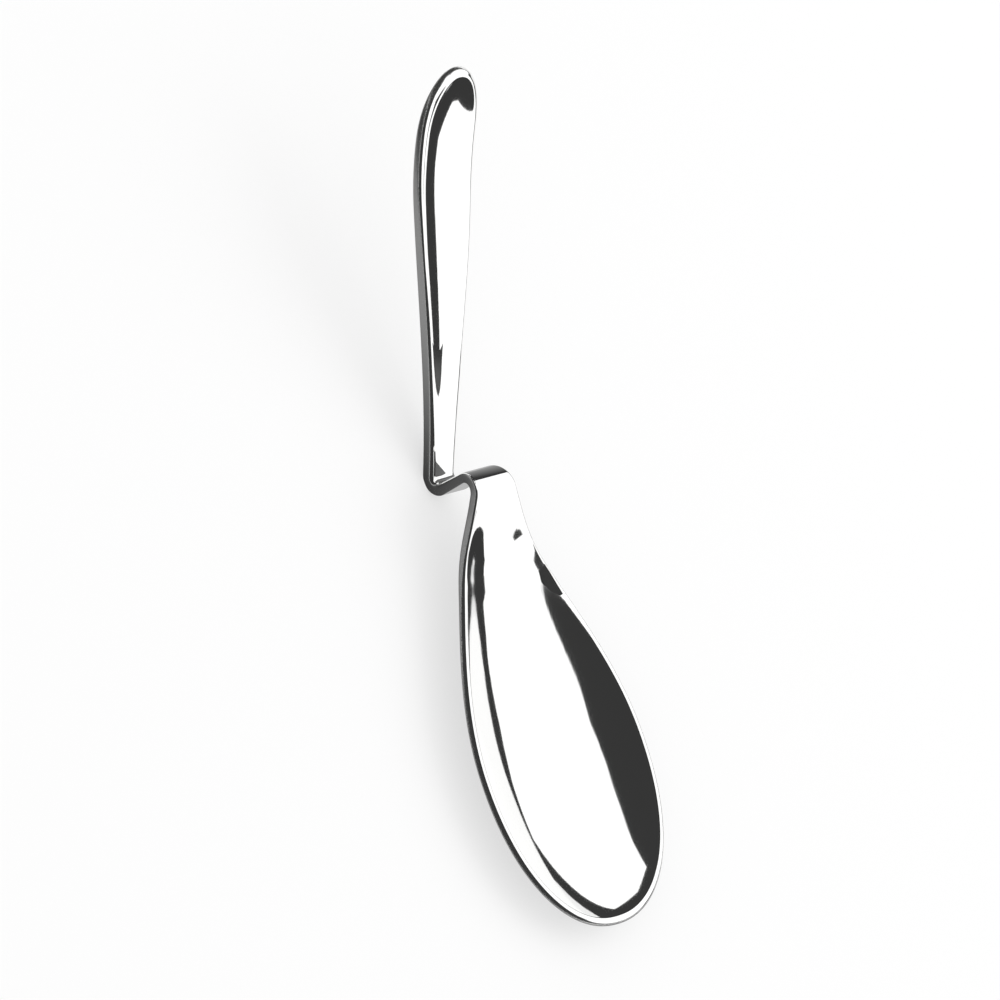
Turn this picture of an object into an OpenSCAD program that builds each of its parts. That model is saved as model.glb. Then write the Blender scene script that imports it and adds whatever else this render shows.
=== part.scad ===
// Salad spoon of polished steel, pressed and bent from one blank.
// The handle ends in a heel bend, a short step climbs forward from it, and a
// second bend turns down into the neck and the dished bowl. The notch under the
// step hooks over the rim of a salad bowl.
//
// The spoon is a loft along a spine. The spine lies in the middle plane of the
// spoon and is told by its lean: 0 runs straight down from the handle, and a
// positive lean turns toward the dished front. Sections across the spine get
// their half width, dish and thickness from functions of the length along it.

/* [Handle] */
// Length of the handle along its curve, from its end to the heel bend
handle_len = 114; // [90:1:140]
// Width of the handle at its widest place
handle_w = 22; // [16:0.5:28]
// Length of the rounded end of the handle
handle_round = 19; // [12:0.5:30]
// Depth of the shallow dish in the handle's front, where it is widest
handle_dish = 1.45; // [0.4:0.05:1.6]
// Length over which the handle's dish fades in from the heel bend
handle_dish_fade = 39; // [25:1:60]
// Thickness of the handle
handle_t = 3.15; // [2.6:0.05:5]
// Length of the forward curl at the handle's end
curl_len = 38; // [20:1:60]
// Angle of the forward curl
curl_angle = 18; // [0:1:30]
// Angle by which the rest of the handle bows back
bow_angle = 3; // [0:0.5:8]

/* [Step] */
// Width of the blank at the heel bend, its narrowest place
waist_w = 9.8; // [7:0.1:14]
// Thickness at the heel bend
waist_t = 3.4; // [2.6:0.1:4]
// Inside radius of the heel bend
heel_r = 1.6; // [1.2:0.1:4]
// Straight length of the step between its two bends
step_len = 9.5; // [6:0.5:16]
// Angle by which the step climbs back toward the handle
step_angle = 30; // [10:1:40]
// Inside radius of the bend between step and neck
neck_r = 3.2; // [2:0.1:5]

/* [Neck] */
// Forward lean of the neck
neck_angle = 4.5; // [0:0.5:10]
// Length of the neck before it sweeps into the bowl
neck_len = 8; // [4:0.5:14]
// Thickness of the neck
neck_t = 2.6; // [2:0.1:3.4]

/* [Bowl] */
// Length from the neck's top bend to the bowl's tip, along the rim
bowl_len = 122; // [100:1:150]
// Width of the bowl at its widest place
bowl_w = 65; // [50:1:80]
// Distance from the tip to the widest place
bowl_round = 46; // [34:1:58]
// Depth of the bowl below its rim
bowl_depth = 9.8; // [6:0.1:16]
// Thickness of the bowl's wall
bowl_t = 2.1; // [1.6:0.1:2.6]
// Forward lean of the bowl's rim
bowl_angle = 26.5; // [18:0.5:34]
// Length over which the neck's lean sweeps into the bowl's
sweep_len = 18; // [10:1:30]

/* [Edge] */
// Radius of the front corner of the edge round the handle's end
end_edge_r = 2; // [0.5:0.05:2.1]
// Radius of the front corner of the edge along the handle
handle_edge_r = 1.05; // [0.5:0.05:2]
// Radius of the front corner of the edge at the heel bend
heel_edge_r = 1.6; // [0.5:0.05:2]
// Radius of the front corner of the neck's edge
neck_edge_r = 0.65; // [0.3:0.05:1.2]
// Radius of the front corner of the bowl's edge
bowl_edge_r = 1.4; // [0.4:0.05:1.4]
// Radius of the back corner of the edge, as a share of the thickness
back_edge_share = 0.16; // [0.05:0.01:0.2]

/* [Mesh] */
// Spans across the front or the back
across_n = 16; // [8:2:20]
// Spans around the front corner of the edge
corner_n = 4; // [2:1:6]
// Spans around the back corner of the edge
back_corner_n = 2; // [1:1:4]
// Stations in each rounded end
end_n = 14; // [8:1:16]
// Stations in each bend
bend_n = 12; // [8:1:16]
// Stations along the rest of the handle's curl
curl_n = 5; // [3:1:10]
// Stations along the handle, from its curl to the heel bend
handle_n = 16; // [8:1:24]
// Stations along the step
step_n = 3; // [2:1:6]
// Stations from the neck's top bend to the bowl's widest place
bowl_n = 26; // [16:1:32]

/* [Hidden] */

// Fullness of the outlines of the two rounded ends
end_full = 2.15;
// Distance from the neck's top bend to where the bowl's dish begins
bowl_dish_from = 2.4;
// Length of that dish's soft beginning
bowl_dish_start = 4;
// How fast the bowl's dish deepens: 1 is evenly, and more is sooner
bowl_dish_power = 1.5;
// How fast the dishes close with the width at the handle and at the bowl's end
handle_close_power = 1.1;
bowl_close_power = 1.7;
// Profile across a dish: 1 is a parabola, and more leaves a flat land along the
// edge. The handle's grows toward the waist, and the bowl's is lost in the bowl.
handle_land_power = 1.45;
handle_land_power_gain = 1.75;
bowl_land_power_gain = 0.55;
bowl_land_fade_power = 1.3;
// Length over which thickness and edge fade toward the heel, and thickness in
// the bowl
fade_len = 30;
// Distance from the handle's end to where the end's larger front corner is lost
end_edge_len = 60;
// Length over which it fades there
end_edge_fade = 45;
// Distance from the neck's top bend to where the edge's front corner grows
edge_from = 10;
// Length over which it grows to the bowl's
edge_fade = 22;
// Length of one step of the spine's running sum
path_step = 0.1;
// Small distance for slopes
tiny = 0.001;

// Leans at the handle's end, along the handle and at the heel bend
bow_lean = bow_angle / 2;
end_lean = bow_lean - curl_angle;
heel_lean = -bow_lean;
step_lean = 90 + step_angle;

// Lengths along the spine, counted from the handle's end
heel_at = handle_len;
heel_len = (heel_r + waist_t / 2) * (step_lean - heel_lean) * PI / 180;
waist_at = heel_at + heel_len / 2;
step_at = heel_at + heel_len;
top_at = step_at + step_len;
top_len = (neck_r + neck_t / 2) * (step_lean - neck_angle) * PI / 180;
neck_at = top_at + top_len;
tip_at = neck_at + bowl_len;
wide_at = tip_at - bowl_round;

// Share of a stretch that is passed, straight or with soft ends
function ramp(x) = min(max(x, 0), 1);
function soft(x) = let (c = ramp(x)) c * c * (3 - 2 * c);

// Lean of the spine at length s
function lean(s) =
    end_lean
    + curl_angle * ramp(s / curl_len)
    - bow_angle * ramp((s - curl_len) / (heel_at - curl_len))
    + (step_lean - heel_lean) * ramp((s - heel_at) / heel_len)
    - (step_lean - neck_angle) * ramp((s - top_at) / top_len)
    + (bowl_angle - neck_angle) * soft((s - neck_at - neck_len) / sweep_len);

// Direction of the spine in the side plane, as [y, z]
function heading(s) = [-cos(lean(s)), sin(lean(s))];

// Points of the spine, added up from its directions
path_n = ceil(tip_at / path_step) + 1;
path = [
    for (i = 0, p = [0, 0];
        i <= path_n;
        p = p + path_step * heading((i + 0.5) * path_step), i = i + 1) p
];

// Point of the spine at length s
function spine(s) =
    let (
        f = min(max(s / path_step, 0), path_n - 1),
        i = floor(f)
    )
    path[i] + (f - i) * (path[i + 1] - path[i]);

// Half width of a rounded end, where x runs from 0 at the widest place to 1
function round_end(x) = pow(1 - pow(ramp(x), end_full), 1 / end_full);

// Half width of the blank at length s: two waves from the waist to the widest
// places of handle and bowl, each closed by a rounded end
function wave(x) = (1 - cos(180 * ramp(x))) / 2;
function handle_body(s) =
    (waist_w + (handle_w - waist_w) * wave((waist_at - s) / (waist_at - handle_round))) / 2;
function bowl_body(s) =
    (waist_w + (bowl_w - waist_w) * wave((s - waist_at) / (wide_at - waist_at))) / 2;
function half_w(s) =
    s < waist_at
    ? handle_body(s) * round_end(1 - s / handle_round)
    : bowl_body(s) * round_end((s - wide_at) / bowl_round);

// Thickness at length s
function thick(s) =
    handle_t
    + (waist_t - handle_t) * soft((s - heel_at) / fade_len + 1)
    + (neck_t - waist_t) * soft((s - heel_at) / (neck_at - heel_at))
    + (bowl_t - neck_t) * soft((s - neck_at) / fade_len);

// Depth of a dish at the share v of the half width h: its depth on the spine,
// times 1 less the square of v, to the power of its land
function handle_dish_at(v, h, s) =
    handle_dish * pow(2 * h / handle_w, handle_close_power)
    * soft((heel_at - s) / handle_dish_fade)
    * pow(1 - v * v, handle_land_power
        + handle_land_power_gain * (1 - 2 * handle_body(s) / handle_w));
function bowl_dish_at(v, h, s) =
    let (
        u = s - neck_at - bowl_dish_from,
        left = 1 - ramp(u / (wide_at - neck_at - bowl_dish_from)),
        close = s > wide_at ? pow(2 * h / bowl_w, bowl_close_power) : 1
    )
    bowl_depth * (1 - pow(left, bowl_dish_power)) * soft(u / bowl_dish_start) * close
    * pow(1 - v * v, 1 + bowl_land_power_gain * pow(left, bowl_land_fade_power));
function dish(x, s) =
    let (
        h = max(half_w(s), tiny),
        v = min(abs(x) / h, 1)
    )
    s < waist_at ? handle_dish_at(v, h, s) : bowl_dish_at(v, h, s);

// Point of the middle surface, its slopes along and across, and the direction
// that its front faces
function unit(v) = v / norm(v);
function middle(x, s) =
    let (
        p = spine(s),
        d = dish(x, s)
    )
    [x, p[0] - d * sin(lean(s)), p[1] - d * cos(lean(s))];
function along(x, s) = (middle(x, s + tiny) - middle(x, s - tiny)) / (2 * tiny);
function aside(x, s) = (middle(x + tiny, s) - middle(x - tiny, s)) / (2 * tiny);
function facing(x, s) = unit(cross(along(x, s), aside(x, s)));

// Stations along the spine, closer where it bends and at both ends
function spread(a, b, n) = [for (i = [1 : n]) a + (b - a) * i / n];
stations = concat(
    [for (i = [0 : end_n]) handle_round * (1 - cos(90 * i / end_n))],
    spread(handle_round, curl_len, curl_n),
    spread(curl_len, heel_at, handle_n),
    spread(heel_at, step_at, bend_n),
    spread(step_at, top_at, step_n),
    spread(top_at, neck_at, bend_n),
    spread(neck_at, wide_at, bowl_n),
    [for (i = [1 : end_n]) wide_at + bowl_round * sin(90 * i / end_n)]
);
last = len(stations) - 1;

// Outward direction of the flat blank's outline at length s, as [x, s]. The
// rounded ends look straight along the spine.
function outward(s) =
    unit([half_w(s) > tiny ? 2 * tiny : 0, half_w(s - tiny) - half_w(s + tiny)]);

// Radius of the front corner of the edge at length s, which leaves room for the
// back corner
function edge_r(s) =
    min(
        (1 - back_edge_share) * thick(s),
        handle_edge_r
        + (end_edge_r - handle_edge_r) * soft((end_edge_len - s) / end_edge_fade)
        + (heel_edge_r - handle_edge_r) * soft((s - heel_at) / fade_len + 1)
        + (neck_edge_r - heel_edge_r) * soft((s - heel_at) / (neck_at - heel_at))
        + (bowl_edge_r - neck_edge_r) * soft((s - neck_at - edge_from) / edge_fade)
    );

// Edge profile as [how far out, how far through] from the line where the edge
// starts: the front corner with radius r, a flat face and the back corner
function profile(t, r) =
    let (back_r = back_edge_share * t)
    concat(
        [for (j = [1 : corner_n])
            let (a = 90 * j / corner_n)
            [r * sin(a), t / 2 - r * (1 - cos(a))]],
        [for (j = [0 : back_corner_n])
            let (a = 90 * j / back_corner_n)
            [r - back_r * (1 - cos(a)), back_r * (1 - sin(a)) - t / 2]]
    );
edge_n = corner_n + back_corner_n + 1;

// Section at length s as a closed ring: front, right edge, back, left edge
function face_row(side, x, s, t) = [
    for (j = [0 : across_n])
        let (u = side * x * (2 * j / across_n - 1))
        middle(u, s) + facing(u, s) * side * t / 2
];
function edge_row(side, x, s, t, r, out) =
    let (
        start = middle(side * x, s),
        front = facing(side * x, s),
        way = unit(side * out[0] * aside(side * x, s) + out[1] * along(side * x, s))
    )
    [for (p = profile(t, r)) start + p[0] * way + p[1] * front];
function ring(s) =
    let (
        t = thick(s),
        r = edge_r(s),
        out = outward(s),
        x = max(half_w(s) - r * out[0], 0),
        q = s - r * out[1],
        left = edge_row(-1, x, q, t, r, out)
    )
    concat(
        face_row(1, x, q, t),
        edge_row(1, x, q, t, r, out),
        face_row(-1, x, q, t),
        [for (j = [edge_n - 1 : -1 : 0]) left[j]]
    );
back_from = across_n + 1 + edge_n;
left_from = back_from + across_n + 1;
ring_n = 2 * back_from;
upright = [for (s = stations) each ring(s)];

// How the spoon lies on a table: on its heel and the belly of its bowl. The lean
// of that support line is the least one that any point of the belly allows.
heel_out = heel_r + waist_t;
heel_mid = spine(waist_at)
    + (heel_r + waist_t / 2) * [sin(lean(waist_at)), cos(lean(waist_at))];
function support_lean(p) =
    let (
        u = heel_mid[0] - p[1],
        w = p[2] - heel_mid[1]
    )
    atan2(w, u) + asin(heel_out / norm([u, w]));
rest_lean = min([
    for (i = [0 : last])
        if (stations[i] > neck_at)
            support_lean(upright[i * ring_n + back_from + across_n / 2])
]);

// The same points as the spoon lies, with the origin on the table under the
// middle of the spoon
function laid(p) = [
    p[0],
    p[1] * cos(rest_lean) - p[2] * sin(rest_lean),
    p[1] * sin(rest_lean) + p[2] * cos(rest_lean)
];
lying = [for (p = upright) laid(p)];
ys = [for (p = lying) p[1]];
zs = [for (p = lying) p[2]];
origin = [0, (min(ys) + max(ys)) / 2, min(zs)];
points = [for (p = lying) p - origin];

// At both ends a ring closes to one arc, so its points are shared
function weld(i, j) =
    i > 0 && i < last ? j
    : j <= across_n ? 0
    : j < back_from ? j
    : j < left_from ? back_from
    : back_from - 1 - (j - left_from);
function corner(i, j) = i * ring_n + weld(i, j % ring_n);
function is_left(j) = j < across_n / 2 || j >= back_from + across_n / 2;

// Two triangles for each span between neighbouring rings, split alike on both
// sides of the middle plane, without those that the shared points leave empty
faces = [
    for (i = [0 : last - 1], j = [0 : ring_n - 1])
        let (
            a = corner(i, j),
            b = corner(i, j + 1),
            c = corner(i + 1, j + 1),
            d = corner(i + 1, j),
            pair = is_left(j) ? [[a, b, c], [a, c, d]] : [[b, c, d], [b, d, a]]
        )
        for (t = pair)
            if (t[0] != t[1] && t[1] != t[2] && t[2] != t[0]) t
];

module spoon() {
    color("silver")
        polyhedron(points, faces);
}

spoon();
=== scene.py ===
import bmesh
import bpy
import numpy as np
from mathutils import Matrix, Vector


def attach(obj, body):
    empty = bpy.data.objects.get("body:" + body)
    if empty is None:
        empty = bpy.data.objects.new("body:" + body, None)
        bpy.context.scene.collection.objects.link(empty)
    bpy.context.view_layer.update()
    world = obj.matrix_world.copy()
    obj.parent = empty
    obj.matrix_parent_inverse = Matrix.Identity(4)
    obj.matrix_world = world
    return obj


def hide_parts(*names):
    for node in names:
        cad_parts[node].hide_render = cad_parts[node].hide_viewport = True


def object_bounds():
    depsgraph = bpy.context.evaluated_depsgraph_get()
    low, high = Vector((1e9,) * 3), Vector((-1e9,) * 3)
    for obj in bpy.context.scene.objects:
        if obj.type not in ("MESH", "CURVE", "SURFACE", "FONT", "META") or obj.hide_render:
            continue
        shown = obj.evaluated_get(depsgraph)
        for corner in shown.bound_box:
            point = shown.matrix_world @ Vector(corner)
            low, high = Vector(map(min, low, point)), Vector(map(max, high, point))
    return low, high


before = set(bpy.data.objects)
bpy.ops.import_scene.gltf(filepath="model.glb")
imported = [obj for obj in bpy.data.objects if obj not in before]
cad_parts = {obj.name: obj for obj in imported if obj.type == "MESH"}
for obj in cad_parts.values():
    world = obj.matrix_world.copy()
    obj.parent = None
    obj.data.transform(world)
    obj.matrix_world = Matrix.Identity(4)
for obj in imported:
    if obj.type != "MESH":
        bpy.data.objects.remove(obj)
cad_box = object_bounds()


# ----------------------------------------------------------------- The spoon
# One blank of stainless steel, cut out, pressed into its dishes, bent at the
# heel and under the neck, and mirror-polished. Its front corners are rounded
# more than its back ones.
handle_len, handle_w, handle_round = 114, 22, 19
handle_t, curl_len, curl_turn, bow_turn = 3.15, 38, 18, 3
waist_w, waist_t, heel_r, step_len, step_rise = 9.8, 3.4, 1.6, 9.5, 30
neck_r, neck_lean, neck_len, neck_t = 3.2, 4.5, 8, 2.6
bowl_len, bowl_w, bowl_round, bowl_t = 122, 65, 46, 2.1
bowl_lean, sweep_len = 26.5, 18
end_full, fade_len = 2.15, 30
tiny = 0.001

bow_lean = bow_turn / 2
end_lean = bow_lean - curl_turn
heel_lean = -bow_lean
step_lean = 90 + step_rise
heel_at = handle_len
heel_len = np.radians(step_lean - heel_lean) * (heel_r + waist_t / 2)
waist_at = heel_at + heel_len / 2
step_at = heel_at + heel_len
top_at = step_at + step_len
top_len = np.radians(step_lean - neck_lean) * (neck_r + neck_t / 2)
neck_at = top_at + top_len
tip_at = neck_at + bowl_len
wide_at = tip_at - bowl_round


def ramp(x):
    """Share of a stretch that is passed: x held between 0 and 1."""
    return np.clip(x, 0, 1)


def soft(x):
    """The same with soft ends: 3 x squared less 2 x cubed."""
    c = ramp(x)
    return c * c * (3 - 2 * c)


def lean(s):
    """Lean of the spine in degrees, s mm from the handle's end: straight ramps
    for the curl, the bow and the two bends, a soft one for the bowl."""
    return (end_lean
            + curl_turn * ramp(s / curl_len)
            - bow_turn * ramp((s - curl_len) / (heel_at - curl_len))
            + (step_lean - heel_lean) * ramp((s - heel_at) / heel_len)
            - (step_lean - neck_lean) * ramp((s - top_at) / top_len)
            + (bowl_lean - neck_lean) * soft((s - neck_at - neck_len) / sweep_len))


path_step = 0.02
path_s = np.arange(0, tip_at + 2 * path_step, path_step)
path_lean = np.radians(lean(path_s[:-1] + path_step / 2))
path_y = np.concatenate([[0], np.cumsum(-np.cos(path_lean)) * path_step])
path_z = np.concatenate([[0], np.cumsum(np.sin(path_lean)) * path_step])


def body_w(s):
    """Half width before the ends are rounded: one half wave of a cosine from
    the waist to the widest place of the handle, and one to that of the bowl."""
    on_bowl = s > waist_at
    wide = np.where(on_bowl, bowl_w, handle_w)
    reach = np.where(on_bowl, wide_at - waist_at, waist_at - handle_round)
    wave = (1 - np.cos(np.pi * ramp(np.abs(s - waist_at) / reach))) / 2
    return (waist_w + (wide - waist_w) * wave) / 2


def half_w(s):
    """Half width of the blank: the body times a superellipse at each end."""
    into_end = ramp(np.where(s > waist_at,
                             (s - wide_at) / bowl_round,
                             1 - s / handle_round))
    return body_w(s) * (1 - into_end ** end_full) ** (1 / end_full)


def thick(s):
    """Thickness, passing softly from handle to waist, neck and bowl."""
    return (handle_t
            + (waist_t - handle_t) * soft((s - heel_at) / fade_len + 1)
            + (neck_t - waist_t) * soft((s - heel_at) / (neck_at - heel_at))
            + (bowl_t - neck_t) * soft((s - neck_at) / fade_len))


handle_dish, handle_dish_fade, handle_close = 1.45, 39, 1.1
handle_land, handle_land_gain = 1.45, 1.75
bowl_depth, bowl_dish_from, bowl_dish_start, bowl_close = 9.8, 2.4, 4, 1.7
bowl_dish_power, bowl_land_gain, bowl_land_fade = 1.5, 0.55, 1.3


def dish(x, s):
    """Depth of the dish: its depth along the spine, times 1 less the square of
    the share of the half width, to a power. A power over 1 leaves a flat land
    along the edge, and it falls to 1, a parabola, in the open bowl."""
    h = np.maximum(half_w(s), tiny)
    on_bowl = s > waist_at
    u = s - neck_at - bowl_dish_from
    left = 1 - ramp(u / (wide_at - neck_at - bowl_dish_from))
    in_bowl = (bowl_depth * (1 - left ** bowl_dish_power) * soft(u / bowl_dish_start)
               * np.where(s > wide_at, 2 * h / bowl_w, 1) ** bowl_close)
    in_handle = (handle_dish * (2 * h / handle_w) ** handle_close
                 * soft((heel_at - s) / handle_dish_fade))
    power = np.where(on_bowl,
                     1 + bowl_land_gain * left ** bowl_land_fade,
                     handle_land + handle_land_gain * (1 - 2 * body_w(s) / handle_w))
    share = np.minimum(np.abs(x) / h, 1)
    return np.where(on_bowl, in_bowl, in_handle) * (1 - share ** 2) ** power


def middle(x, s):
    """Point of the middle surface: the spine's point, x aside and the dish's
    depth back, at right angles to the spine."""
    a = np.radians(lean(s))
    d = dish(x, s)
    return np.stack([x + 0 * s,
                     np.interp(s, path_s, path_y) - d * np.sin(a),
                     np.interp(s, path_s, path_z) - d * np.cos(a)], -1)


def unit(v):
    """Vectors of length one."""
    return v / np.linalg.norm(v, axis=-1, keepdims=True)


def slopes(x, s):
    """Directions of the middle surface along the spine and across it, from
    differences, and the direction that its front faces."""
    along = (middle(x, s + tiny) - middle(x, s - tiny)) / (2 * tiny)
    aside = (middle(x + tiny, s) - middle(x - tiny, s)) / (2 * tiny)
    return along, aside, unit(np.cross(along, aside))


def spread(a, b, n):
    """n lengths from a, left out, to b."""
    return np.linspace(a, b, n + 1)[1:]


end_n, curl_n, blade_n, bend_n, step_n, bowl_n = 48, 36, 110, 44, 16, 150
quarter = np.linspace(0, np.pi / 2, end_n + 1)
stations = np.concatenate([
    handle_round * (1 - np.cos(quarter)),
    spread(handle_round, curl_len, curl_n),
    spread(curl_len, heel_at, blade_n),
    spread(heel_at, step_at, bend_n),
    spread(step_at, top_at, step_n),
    spread(top_at, neck_at, bend_n),
    spread(neck_at, wide_at, bowl_n),
    wide_at + bowl_round * np.sin(quarter[1:]),
])

end_edge, handle_edge, heel_edge, neck_edge, bowl_edge = 2, 1.05, 1.6, 0.65, 1.4
end_edge_len, end_edge_fade, edge_from, edge_fade = 60, 45, 10, 22
back_edge_share = 0.16
front_n, back_n, corner_n, face_n, back_corner_n = 64, 36, 12, 3, 5


def blank(s):
    """The blank's edge: its half width, its outward direction in the flat, and
    the radius of its front corner. The rounded ends look along the spine."""
    h = half_w(s)
    out = unit(np.stack([np.where(h > tiny, 2 * tiny, 0),
                         half_w(s - tiny) - half_w(s + tiny)], 1))
    r = (handle_edge
         + (end_edge - handle_edge) * soft((end_edge_len - s) / end_edge_fade)
         + (heel_edge - handle_edge) * soft((s - heel_at) / fade_len + 1)
         + (neck_edge - heel_edge) * soft((s - heel_at) / (neck_at - heel_at))
         + (bowl_edge - neck_edge) * soft((s - neck_at - edge_from) / edge_fade))
    return h, out, r


def edge_profile(t, r):
    """Section of the edge for each station: how far out and how far through.
    A quarter circle for the front corner, a flat face, a small quarter circle
    for the back corner."""
    a = np.linspace(0, np.pi / 2, corner_n + 1)[1:]
    b = np.linspace(0, np.pi / 2, back_corner_n + 1)
    rb = back_edge_share * t
    f = np.linspace(0, 1, face_n + 1)[1:-1]
    top, low = t / 2 - r, rb - t / 2
    out = np.concatenate([r * np.sin(a), r + 0 * f, r - rb * (1 - np.cos(b))], 1)
    through = np.concatenate([t / 2 - r * (1 - np.cos(a)), top + (low - top) * f,
                              low - rb * np.sin(b)], 1)
    return out, through


def spoon_grid(s):
    """The whole skin as a closed ring of points for each station: front, right
    edge, back and left edge."""
    h, out, r = blank(s)
    t = thick(s)
    inner_x = np.maximum(h - r * out[:, 0], 0)
    inner_s = s - r * out[:, 1]

    def face(n, side):
        x = inner_x[:, None] * np.linspace(-side, side, n + 1)
        q = inner_s[:, None] + 0 * x
        return middle(x, q) + slopes(x, q)[2] * (side * t / 2)[:, None, None]

    def edge(side):
        along, aside, front = slopes(side * inner_x, inner_s)
        way = unit(side * out[:, :1] * aside + out[:, 1:] * along)
        o, w = edge_profile(t[:, None], r[:, None])
        return (middle(side * inner_x, inner_s)[:, None] + o[..., None] * way[:, None]
                + w[..., None] * front[:, None])

    return np.concatenate([face(front_n, 1), edge(1), face(back_n, -1),
                           edge(-1)[:, ::-1]], 1)


upright = spoon_grid(stations)

heel_out = heel_r + waist_t
waist_lean = np.radians(lean(waist_at))
heel_mid = np.array([np.interp(waist_at, path_s, path_y),
                     np.interp(waist_at, path_s, path_z)])
heel_mid = heel_mid + (heel_r + waist_t / 2) * np.array([np.sin(waist_lean), np.cos(waist_lean)])
edge_n = corner_n + face_n + back_corner_n
belly = upright[stations > neck_at][:, front_n + 1 + edge_n + back_n // 2]
reach = np.stack([heel_mid[0] - belly[:, 1], belly[:, 2] - heel_mid[1]], 1)
rest_lean = np.min(np.arctan2(reach[:, 1], reach[:, 0])
                   + np.arcsin(heel_out / np.linalg.norm(reach, axis=1)))


def lay(v):
    """Points or directions of the upright spoon, turned back by the lean at
    which it lies on its heel and the belly of its bowl."""
    c, s = np.cos(rest_lean), np.sin(rest_lean)
    return np.stack([v[..., 0], c * v[..., 1] - s * v[..., 2], s * v[..., 1] + c * v[..., 2]], -1)


lying = lay(upright)
low, high = lying.min((0, 1)), lying.max((0, 1))
set_down = np.array([0, (low[1] + high[1]) / 2, low[2]])
cad_size = np.subtract(cad_box[1], cad_box[0])
into_box = (cad_size / (high - low)).min()
laid = (lying - set_down) * into_box


def ring_faces(rows, cols):
    """Faces between one closed ring of points and the next, by point number."""
    i, j = np.meshgrid(np.arange(rows - 1), np.arange(cols), indexing="ij")
    k = (j + 1) % cols
    quads = np.stack([i * cols + j, i * cols + k, (i + 1) * cols + k, (i + 1) * cols + j], -1)
    return quads.reshape(-1, 4)


same_point = 2e-7


def closed_mesh(name, points, edge_mask):
    """A mesh from rings of points: each ring is closed, doubled points at the
    two ends are joined, and the faces point outward. The mask goes with it."""
    mesh = bpy.data.meshes.new(name)
    mesh.from_pydata(points.reshape(-1, 3), [], ring_faces(*points.shape[:2]))
    mark = mesh.attributes.new("edge_face", "FLOAT", "POINT")
    mark.data.foreach_set("value", edge_mask.astype(np.float32).ravel())
    shell = bmesh.new()
    shell.from_mesh(mesh)
    bmesh.ops.remove_doubles(shell, verts=shell.verts, dist=same_point)
    bmesh.ops.recalc_face_normals(shell, faces=shell.faces)
    shell.to_mesh(mesh)
    shell.free()
    mesh.shade_smooth()
    return mesh


ring_n = laid.shape[1]
column = np.arange(ring_n)
right_edge = column - (front_n + 1)
left_edge = ring_n - 1 - column
cut_from = corner_n - 3
on_face = ((right_edge >= cut_from) & (right_edge < edge_n)
           | (left_edge >= cut_from) & (left_edge < edge_n))
edge_mask = np.tile(on_face.astype(float), (len(stations), 1))
spoon = bpy.data.objects.new("polished_spoon", closed_mesh("polished_spoon", laid, edge_mask))
bpy.context.scene.collection.objects.link(spoon)


def wire(tree, a, b):
    """One link between two sockets."""
    tree.links.new(a, b)


polish_rough = (0.03, 0.07)
cut_rough = 0.22
steel_tones = ((0.84, 0.84, 0.835, 1), (0.88, 0.88, 0.875, 1))
mark_scale, mark_detail, mark_strength, mark_depth = (1400, 35, 400), 2, 0.012, 0.0002
haze_scale, haze_detail = 60, 4

steel = bpy.data.materials.new("polished_steel")
steel.use_nodes = True
tree = steel.node_tree
shader = tree.nodes["Principled BSDF"]
shader.inputs["Metallic"].default_value = 1
place = tree.nodes.new("ShaderNodeTexCoord")

stretch = tree.nodes.new("ShaderNodeMapping")
stretch.inputs["Scale"].default_value = mark_scale
wire(tree, place.outputs["Object"], stretch.inputs["Vector"])
marks = tree.nodes.new("ShaderNodeTexNoise")
marks.inputs["Scale"].default_value = 1
marks.inputs["Detail"].default_value = mark_detail
wire(tree, stretch.outputs["Vector"], marks.inputs["Vector"])

haze = tree.nodes.new("ShaderNodeTexNoise")
haze.inputs["Scale"].default_value = haze_scale
haze.inputs["Detail"].default_value = haze_detail
wire(tree, place.outputs["Object"], haze.inputs["Vector"])
gloss = tree.nodes.new("ShaderNodeMapRange")
gloss.inputs["To Min"].default_value, gloss.inputs["To Max"].default_value = polish_rough
wire(tree, haze.outputs["Fac"], gloss.inputs["Value"])

rim = tree.nodes.new("ShaderNodeAttribute")
rim.attribute_name = "edge_face"
satin = tree.nodes.new("ShaderNodeMix")
satin.inputs["B"].default_value = cut_rough
wire(tree, rim.outputs["Fac"], satin.inputs["Factor"])
wire(tree, gloss.outputs["Result"], satin.inputs["A"])
wire(tree, satin.outputs["Result"], shader.inputs["Roughness"])

# A Mix node's colour sockets share their names with others, so their places
# in its lists pick them.
mix_share, mix_a, mix_b, mixed = 0, 6, 7, 2
tint = tree.nodes.new("ShaderNodeMix")
tint.data_type = "RGBA"
tint.inputs[mix_a].default_value, tint.inputs[mix_b].default_value = steel_tones
wire(tree, haze.outputs["Fac"], tint.inputs[mix_share])
wire(tree, tint.outputs[mixed], shader.inputs["Base Color"])

bump = tree.nodes.new("ShaderNodeBump")
bump.inputs["Strength"].default_value = mark_strength
bump.inputs["Distance"].default_value = mark_depth
wire(tree, marks.outputs["Fac"], bump.inputs["Height"])
wire(tree, bump.outputs["Normal"], shader.inputs["Normal"])

spoon.data.materials.append(steel)
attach(spoon, "root")
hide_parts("spoon")


# ---------------------------------------------------------------- The camera
# A long way off and without perspective, 48 degrees round to the spoon's left
# and a little above it, and turned so that the handle stands up in the picture.
mm = 0.001
picture_px, px_mm = 1000, 0.27
view_round, view_above, view_roll = np.radians([48, 14.896, 0.934])
waist_px = (443.3, 483.92)
camera_away, clip_away = 3.0, 20

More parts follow.
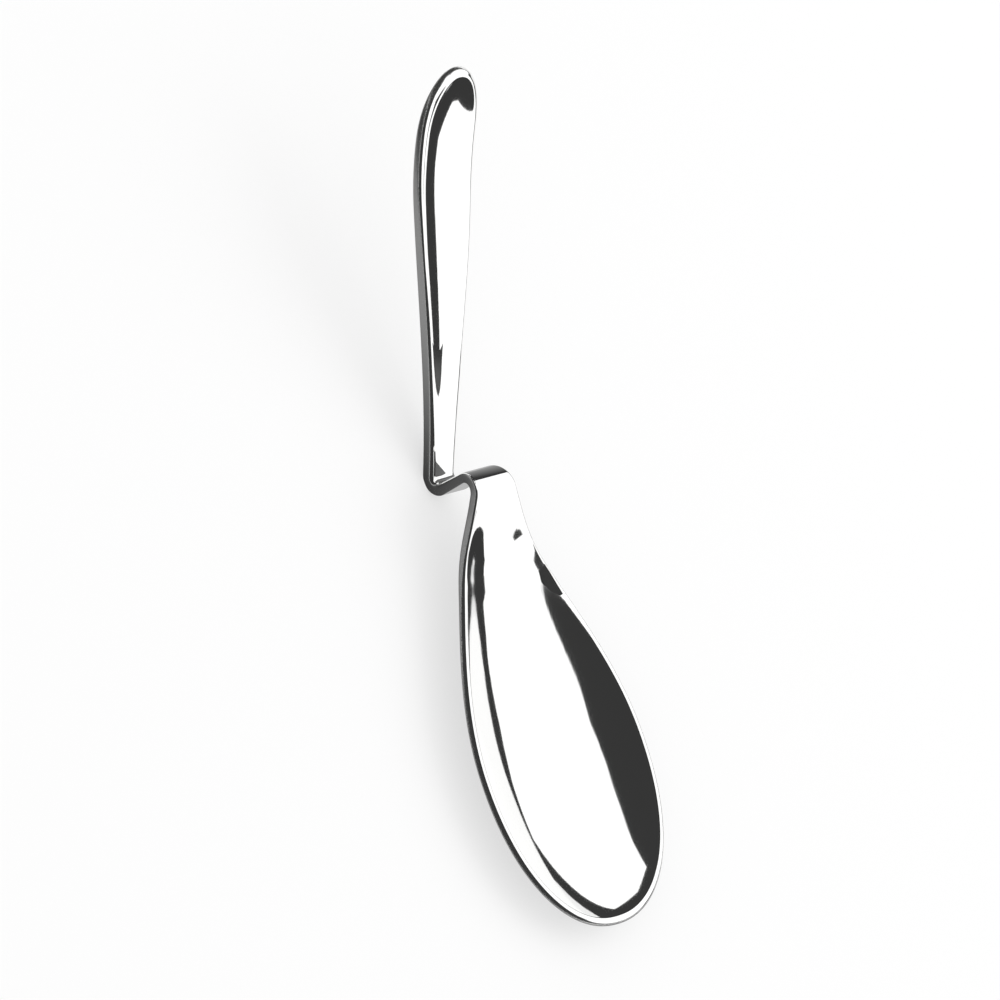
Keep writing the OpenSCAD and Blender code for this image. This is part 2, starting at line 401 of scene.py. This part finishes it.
c_round, s_round = np.cos(view_round), np.sin(view_round)
c_above, s_above = np.cos(view_above), np.sin(view_above)
view_axes = lay(np.array([
    (c_round, 0, s_round),
    (s_round * s_above, c_above, -c_round * s_above),
    (-s_round * c_above, s_above, c_round * c_above),
]))
c_roll, s_roll = np.cos(view_roll), np.sin(view_roll)
view_axes = np.array([(c_roll, s_roll, 0), (-s_roll, c_roll, 0), (0, 0, 1)]) @ view_axes
waist = lay(np.array([0, np.interp(waist_at, path_s, path_y),
                      np.interp(waist_at, path_s, path_z)])) - set_down
aside_mm = (picture_px / 2 - waist_px[0]) * px_mm
above_mm = (waist_px[1] - picture_px / 2) * px_mm
aim = (waist + aside_mm * view_axes[0] + above_mm * view_axes[1]) * mm

lens = bpy.data.cameras.new("camera")
lens.type = "ORTHO"
lens.ortho_scale = picture_px * px_mm * mm
lens.clip_end = clip_away
camera = bpy.data.objects.new("camera", lens)
camera.matrix_world = (Matrix.Translation(Vector(aim + view_axes[2] * camera_away))
                       @ Matrix(view_axes.T.tolist()).to_4x4())
bpy.context.scene.collection.objects.link(camera)
bpy.context.scene.camera = camera


# ------------------------------------------------------------ The white floor
# A wide sheet of white acrylic on which the spoon lies, lit a little from below,
# so that the spoon's soft shadow on it stays faint.
floor_half = 6.0
floor_white, floor_rough, floor_sheen, floor_glow = 0.93, 0.9, 0.1, 0.6
sheet = bpy.data.meshes.new("floor")
corners = np.array([(-1, -1, 0), (1, -1, 0), (1, 1, 0), (-1, 1, 0)]) * floor_half
sheet.from_pydata(corners, [], [(0, 1, 2, 3)])
floor = bpy.data.objects.new("floor", sheet)
bpy.context.scene.collection.objects.link(floor)
white = bpy.data.materials.new("white_board")
white.use_nodes = True
tree = white.node_tree
paint = tree.nodes["Principled BSDF"]
paint.inputs["Base Color"].default_value = (floor_white, floor_white, floor_white, 1)
paint.inputs["Roughness"].default_value = floor_rough
paint.inputs["Specular IOR Level"].default_value = floor_sheen


def shown(tree, share):
    """A value that is the share for what the camera sees, by itself or in metal
    and glass, and 0 for the light that falls on the object."""
    path = tree.nodes.new("ShaderNodeLightPath")
    value = path.outputs["Is Camera Ray"]
    for name in ("Is Glossy Ray", "Is Transmission Ray"):
        either = tree.nodes.new("ShaderNodeMath")
        either.operation = "MAXIMUM"
        wire(tree, value, either.inputs[0])
        wire(tree, path.outputs[name], either.inputs[1])
        value = either.outputs["Value"]
    part = tree.nodes.new("ShaderNodeMath")
    part.operation = "MULTIPLY"
    part.inputs[1].default_value = share
    wire(tree, value, part.inputs[0])
    return part.outputs["Value"]


lit = tree.nodes.new("ShaderNodeEmission")
blend = tree.nodes.new("ShaderNodeMixShader")
wire(tree, shown(tree, floor_glow), blend.inputs["Fac"])
wire(tree, paint.outputs["BSDF"], blend.inputs[1])
wire(tree, lit.outputs["Emission"], blend.inputs[2])
wire(tree, blend.outputs["Shader"], tree.nodes["Material Output"].inputs["Surface"])
sheet.materials.append(white)


# ------------------------------------------------------- The cards round it
# Painted reflections: sheets that glow at a fixed tone, light nothing and cast no shadow. Dark
# cloth hung round and over the table, as for any mirror-bright metal, open toward one wide window
# of light above the right side. Only the metal sees it.
card_away = 8.0
cloth_tone, window_tone = 0.042, 1.3


def aim_at(azimuth, height):
    """Direction from the spoon, by its angle round the table from +X toward +Y
    and its angle above the table."""
    a, e = np.radians(azimuth), np.radians(height)
    return np.stack([np.cos(e) * np.cos(a), np.cos(e) * np.sin(a), np.sin(e)], -1)


def card(name, points, faces, tone, near_tone=None, near=(0, 0, 0), reach=1):
    """A painted reflection: a flat or folded sheet that only the metal sees, glowing at one tone,
    or passing from the near tone at one point to its tone at the reach from it. It lights nothing
    and casts no shadow."""
    mesh = bpy.data.meshes.new(name)
    mesh.from_pydata(points, [], faces)
    sheet = bpy.data.objects.new(name, mesh)
    bpy.context.scene.collection.objects.link(sheet)
    cloth = bpy.data.materials.new(name)
    cloth.use_nodes = True
    nodes = cloth.node_tree.nodes
    nodes.clear()
    glow = nodes.new("ShaderNodeEmission")
    glow.inputs["Strength"].default_value = tone
    end = nodes.new("ShaderNodeOutputMaterial")
    wire(cloth.node_tree, glow.outputs["Emission"], end.inputs["Surface"])
    if near_tone is not None:
        place = nodes.new("ShaderNodeTexCoord")
        away = nodes.new("ShaderNodeVectorMath")
        away.operation = "DISTANCE"
        away.inputs[1].default_value = near
        wire(cloth.node_tree, place.outputs["Object"], away.inputs[0])
        grade = nodes.new("ShaderNodeMapRange")
        grade.inputs["From Max"].default_value = reach
        grade.inputs["To Min"].default_value = near_tone
        grade.inputs["To Max"].default_value = tone
        wire(cloth.node_tree, away.outputs["Value"], grade.inputs["Value"])
        wire(cloth.node_tree, grade.outputs["Result"], glow.inputs["Strength"])
    mesh.materials.append(cloth)
    sheet.visible_camera = False
    sheet.visible_diffuse = False
    sheet.visible_shadow = False
    sheet.visible_transmission = False


def far_card(name, outline, away, tone):
    """A flat card, a painted reflection, whose corners are given as directions from the spoon, at
    a share of the distance of the cloth."""
    points = aim_at(*np.array(outline, float).T) * card_away * away
    card(name, points, [tuple(range(len(outline)))], tone)


window = [(-68, 73), (-69, 63), (-67, 46), (-62, 24), (-50, 13), (-42, 8), (-30, 8), (-27, 11.5),
          (-20, 20), (-10, 19.5), (-7, 14), (-5.5, 11.5), (-3, 14), (0, 13), (9, 8.5), (18.5, 15),
          (33, 22.5), (40, 25.5), (60, 44), (74, 57), (69, 66), (62, 77), (52, 81), (34, 84),
          (-28, 84), (-46, 81), (-66, 76.5)]
up, hair = np.array([0, 0, 1.0]), 1e-6
rim_dirs = aim_at(*np.array(window, float).T)
centre = unit(rim_dirs.sum(0))
first = unit(np.cross(up, centre))
second = np.cross(centre, first)


def window_edge(angle):
    """How far from its centre the window reaches, by direction round it, as the
    ray through the window's plane: where it meets the straight side there."""
    flat = rim_dirs / (rim_dirs @ centre)[:, None] - centre
    p = np.stack([flat @ first, flat @ second], 1)
    q = np.roll(p, -1, 0)
    d = np.stack([np.cos(angle), np.sin(angle)], -1)[:, None]
    e = q - p
    cross = d[..., 0] * e[:, 1] - d[..., 1] * e[:, 0]
    far = (p[:, 0] * e[:, 1] - p[:, 1] * e[:, 0]) / cross
    part = (p[:, 0] * d[..., 1] - p[:, 1] * d[..., 0]) / cross
    far[(far < 0) | (part < -hair) | (part > 1 + hair)] = np.inf
    return far.min(1)


# The cloth, a painted dark reflection: rings that pass from the window's outline down to the
# table.
cloth_foot = np.radians(2)
turn_n, ring_count = 720, 40
turns = np.linspace(0, 2 * np.pi, turn_n + 1)[:-1]
around = np.cos(turns)[:, None] * first + np.sin(turns)[:, None] * second
opening = np.arctan(window_edge(turns))
climb = np.hypot(centre[2], around[:, 2])
foot = np.arctan2(around[:, 2], centre[2]) + np.arccos(np.sin(cloth_foot) / climb)
polar = opening + (foot - opening) * np.linspace(0, 1, ring_count)[:, None]
dome = np.cos(polar)[..., None] * centre + np.sin(polar)[..., None] * around
card("dark_cloth", (dome * card_away).reshape(-1, 3), ring_faces(*polar.shape), cloth_tone)

# Painted reflections: the pane just behind the opening, which glows as the window's light but
# lights nothing, a dark post that stands free in front of it, and two white boards along the foot
# of the cloth.
behind, halfway, before = 1.02, 0.5, 0.98
far_card("window_pane", window, behind, window_tone)

post = [(-59.5, 37), (-59.5, 42), (-60.5, 45), (-64, 45), (-64, 37)]
far_card("window_post", post, halfway, cloth_tone)

low_left = [(-17, 0), (-17, 5), (-14.5, 6.7), (-7.5, 6.5), (-5.4, 4.6), (-4.5, 2), (-4.5, 0)]
far_card("low_board_left", low_left, before, 1)
low_right = [(10, 0), (11.5, 1.8), (15.7, 5.5), (21.6, 7.8), (27, 8.5), (30.5, 6.5), (31, 0)]
far_card("low_board_right", low_right, before, 1)

# Painted shade of the floor, which only the metal sees: grey under the whole left side, darker
# toward the heel as a painted contact shadow, and lighter under the step.
low_z = 0.0004
floor_shade_outline = np.array([(0.045, -3, low_z), (0.045, -0.03, low_z), (0, -0.03, low_z), (0, 0.03, low_z),
                 (0.045, 0.03, low_z), (0.045, 3, low_z), (-4, 3, low_z), (-4, -3, low_z)])
floor_shade_tone, heel_shadow_tone, step_shade_tone = 0.28, 0.02, 0.5
card("painted_floor_shade", floor_shade_outline, [tuple(range(len(floor_shade_outline)))], floor_shade_tone,
     near_tone=heel_shadow_tone, near=(0, 0.015, 0), reach=0.05)
card("painted_step_shade", floor_shade_outline[1:5], [(0, 1, 2, 3)], step_shade_tone)


def held_card(name, spot, azimuth, height, away, outline, tone):
    """A painted reflection: a card held close over one spot of the metal, all in mm. Its outline,
    to the side and upward, lies square to the direction from the spot, so far away."""
    facing = aim_at(azimuth, height)
    side = unit(np.cross(up, facing))
    flat = np.array(outline, float)
    points = (np.array(spot) + facing * away + flat[:, :1] * side
              + flat[:, 1:] * np.cross(facing, side)) * mm
    card(name, points, [tuple(range(len(outline)))], tone)


# A white card by the handle's rim, which paints a highlight along it, and two dark ones beside
# the neck, which paint a dark reflection on it.
handle_rim = [(2, -18), (-12, -7), (-20, 16), (-42, 35), (-41, 67), (4, 48), (32, 30), (22, 1),
              (145, 7), (66, -35), (21, -25)]
held_card("rim_card", spot=(-9, 110, 44), azimuth=-150, height=62, away=50,
          outline=handle_rim, tone=window_tone)
neck_side = [(1.3, -0.5), (-2.1, 1.5), (-3.2, 3.9), (0, 3), (10, -0.3), (10.3, -6.7), (4, -1.8)]
held_card("neck_card", spot=(13.8, -15.6, 12.6), azimuth=-56, height=66, away=40,
          outline=neck_side, tone=cloth_tone)
neck_tape = [(5.6, 1.4), (3.5, 2.2), (-0.9, 2.5), (-2.6, -0.2), (-2.7, -1), (-2, -5.2),
             (-1.4, -6.3), (0.1, -6.5), (1.6, -3.9), (3.2, -2.3), (5.6, -0.6)]
held_card("neck_tape", spot=(15.7, -19.6, 12.4), azimuth=-56.7, height=73.2, away=4.6,
          outline=neck_tape, tone=cloth_tone)

# A painted dark reflection: a dark board over the painted floor shade, away from the spoon on its
# left.
over_z = 0.0008
dark = np.array([(-0.09, 0.083, over_z), (-0.08, 0.12, over_z), (-0.5, 3, over_z),
                 (-3.9, 3, over_z), (-3.9, -1.86, over_z), (-0.39, -0.07, over_z)])
card("dark_board", dark, [tuple(range(len(dark)))], cloth_tone)

# A small card that stands behind the top bend, light at its foot: a painted dark reflection
# above, and at its foot the painted grey of shaded floor.
bend_top, bend_tone, bend_foot_shade_tone = 0.028, 0.05, 0.42
bend = np.array([(0.043, 0.008, low_z), (0.014, 0.039, low_z),
                 (0.014, 0.039, bend_top), (0.043, 0.008, bend_top)])
card("bend_card", bend, [(0, 1, 2, 3)], bend_tone,
     near_tone=bend_foot_shade_tone, near=(0.0285, 0.0235, 0), reach=0.03)

# A painted dark reflection at the right: a dark mat whose far end is turned up.
mat_near = [(0.13, -0.12, low_z), (0.20, -0.012, low_z)]
mat_far = [(3.8, -1.1, low_z), (1.9, -3.4, low_z)]
mat_up = [(3.8, -1.1, 0.3), (1.9, -3.4, 0.3)]
card("dark_mat", np.array(mat_near + mat_far + mat_up), [(0, 1, 2, 3), (3, 2, 4, 5)], cloth_tone)


# ------------------------------------------------------------------ The light
# A pale room all round, a little brighter to the eye than the light it gives,
# and one large soft lamp in the middle of the window, which the metal doesn't show.
world = bpy.data.worlds.new("pale_room")
bpy.context.scene.world = world
world.use_nodes = True
room = world.node_tree.nodes["Background"]
room.inputs["Color"].default_value = (1, 1, 1, 1)
plain_room = 0.88
level = world.node_tree.nodes.new("ShaderNodeMath")
level.inputs[1].default_value = plain_room
wire(world.node_tree, shown(world.node_tree, 1 - plain_room), level.inputs[0])
wire(world.node_tree, level.outputs["Value"], room.inputs["Strength"])

lamp_data = bpy.data.lights.new("soft_lamp", "AREA")
lamp_size, lamp_power, lamp_away, lamp_at = 2.4, 14, 2.2, (-5, 50)
lamp_data.shape = "DISK"
lamp_data.size = lamp_size
lamp_data.energy = lamp_power
lamp = bpy.data.objects.new("soft_lamp", lamp_data)
lamp_dir = Vector(aim_at(*lamp_at))
lamp.location = lamp_dir * lamp_away
lamp.rotation_euler = lamp_dir.to_track_quat("Z", "Y").to_euler()
bpy.context.scene.collection.objects.link(lamp)
lamp.visible_glossy = False

bpy.context.scene.view_settings.view_transform = "Standard"
